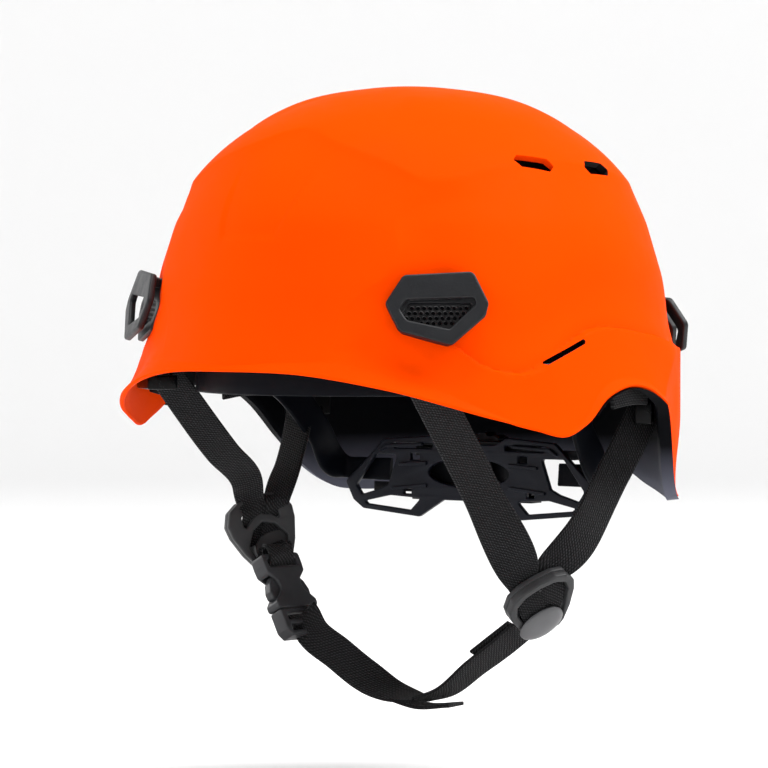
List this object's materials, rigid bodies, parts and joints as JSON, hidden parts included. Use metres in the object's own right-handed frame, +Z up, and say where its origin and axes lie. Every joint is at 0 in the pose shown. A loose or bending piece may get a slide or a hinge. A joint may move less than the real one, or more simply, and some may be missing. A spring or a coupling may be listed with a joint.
{
  "type": "climbing helmet",
  "caption": "Climbing helmet with a moulded dome shell, four headlamp clips, vents, webbing chin strap with side-release buckle, and a wheel-adjusted rear cradle.",
  "frame": {"origin": "middle plane of the helmet at the level of the headband, under the crown", "axes": "+Z up through the crown, -Y towards the wearer's front, +X towards the wearer's left"},
  "size_m": [0.2314, 0.2738, 0.2693],
  "materials": {
    "shell_orange": "satin moulded ABS",
    "liner_foam": "expanded foam, fine beads",
    "band_plastic": "soft moulded plastic",
    "pad_fabric": "brushed knit over foam",
    "clip_plastic": "fine textured plastic",
    "grille_plastic": "moulded mesh",
    "anchor_plastic": "moulded plastic",
    "webbing": "diagonal ribbed webbing",
    "lining_grey": "matt grey lining",
    "divider_plastic": "satin plastic",
    "cap_plastic": "satin plastic",
    "cradle_plastic": "satin plastic",
    "wheel_plastic": "satin plastic",
    "gear_plastic": "acetal",
    "buckle_plastic": "satin acetal"
  },
  "bodies": {
    "helmet": {"outer_shell": "shell_orange", "crown_liner": "liner_foam", "headband": "band_plastic", "brow_pad": "pad_fabric", "lamp_clip_front_left": "clip_plastic", "lamp_clip_front_right": "clip_plastic", "lamp_clip_rear_left": "clip_plastic", "lamp_clip_rear_right": "clip_plastic", "vent_grille_left": "grille_plastic", "vent_grille_right": "grille_plastic", "nape_liner": "lining_grey", "slot_box_left": "anchor_plastic", "slot_box_right": "anchor_plastic", "strap_anchor_front_left": "anchor_plastic", "strap_anchor_front_right": "anchor_plastic", "strap_anchor_rear_left": "anchor_plastic", "strap_anchor_rear_right": "anchor_plastic", "strap_front_left": "webbing", "strap_front_right": "webbing", "strap_rear_left": "webbing", "strap_rear_right": "webbing", "arch_strap_left": "webbing", "arch_strap_right": "webbing", "strap_divider_left": "divider_plastic", "strap_divider_right": "divider_plastic", "divider_cap_left": "cap_plastic", "divider_cap_right": "cap_plastic", "side_band_left": "band_plastic", "side_band_right": "band_plastic", "buckle_socket": "buckle_plastic", "buckle_loop": "webbing", "chin_strap_left": "webbing", "strap_tail_left": "webbing"},
    "cradle": {"rear_cradle": "cradle_plastic", "adjuster_cover": "cradle_plastic"},
    "wheel": {"adjuster_wheel": "wheel_plastic", "drive_pinion": "gear_plastic"},
    "rack_left": {"rack_left": "gear_plastic"},
    "rack_right": {"rack_right": "gear_plastic"},
    "chin_run": {"buckle_plug": "buckle_plastic", "chin_strap_right": "webbing", "strap_tail_right": "webbing"},
    "prong_front": {"buckle_prong_front": "buckle_plastic"},
    "prong_rear": {"buckle_prong_rear": "buckle_plastic"}
  },
  "joints": [
    {"name": "cradle_slide", "type": "slide", "parent": "helmet", "child": "cradle", "axis": [0, 1, 0], "range_m": [0, 0.025], "deforming": ["side_band_left", "side_band_right"]},
    {"name": "wheel_spin", "type": "hinge", "parent": "cradle", "child": "wheel", "pos_m": [0, 0.06, -0.04], "axis": [0, 1, 0], "range_deg": [0, 286.5]},
    {"name": "rack_left_slide", "type": "slide", "parent": "cradle", "child": "rack_left", "axis": [1, 0, 0], "range_m": [0, 0.025]},
    {"name": "rack_right_slide", "type": "slide", "parent": "cradle", "child": "rack_right", "axis": [-1, 0, 0], "range_m": [0, 0.025]},
    {"name": "buckle_release", "type": "slide", "parent": "helmet", "child": "chin_run", "axis": [0.4649, -0.0653, -0.8829], "range_m": [0, 0.034], "deforming": ["buckle_prong_front", "buckle_prong_rear"]},
    {"name": "prong_front_squeeze", "type": "hinge", "parent": "chin_run", "child": "prong_front", "pos_m": [-0.04862, -0.02664, -0.0995], "axis": [-0.8744, 0.1229, -0.4695], "range_deg": [0, 12], "stiffness_Nm_per_rad": 0.04},
    {"name": "prong_rear_squeeze", "type": "hinge", "parent": "chin_run", "child": "prong_rear", "pos_m": [-0.04698, -0.01496, -0.0995], "axis": [0.8744, -0.1229, 0.4695], "range_deg": [0, 12], "stiffness_Nm_per_rad": 0.04}
  ],
  "couplings": [
    {"joint": "wheel_spin", "follows": "cradle_slide", "rad_per_m": 200},
    {"joint": "rack_left_slide", "follows": "cradle_slide", "ratio": 1},
    {"joint": "rack_right_slide", "follows": "cradle_slide", "ratio": 1}
  ]
}
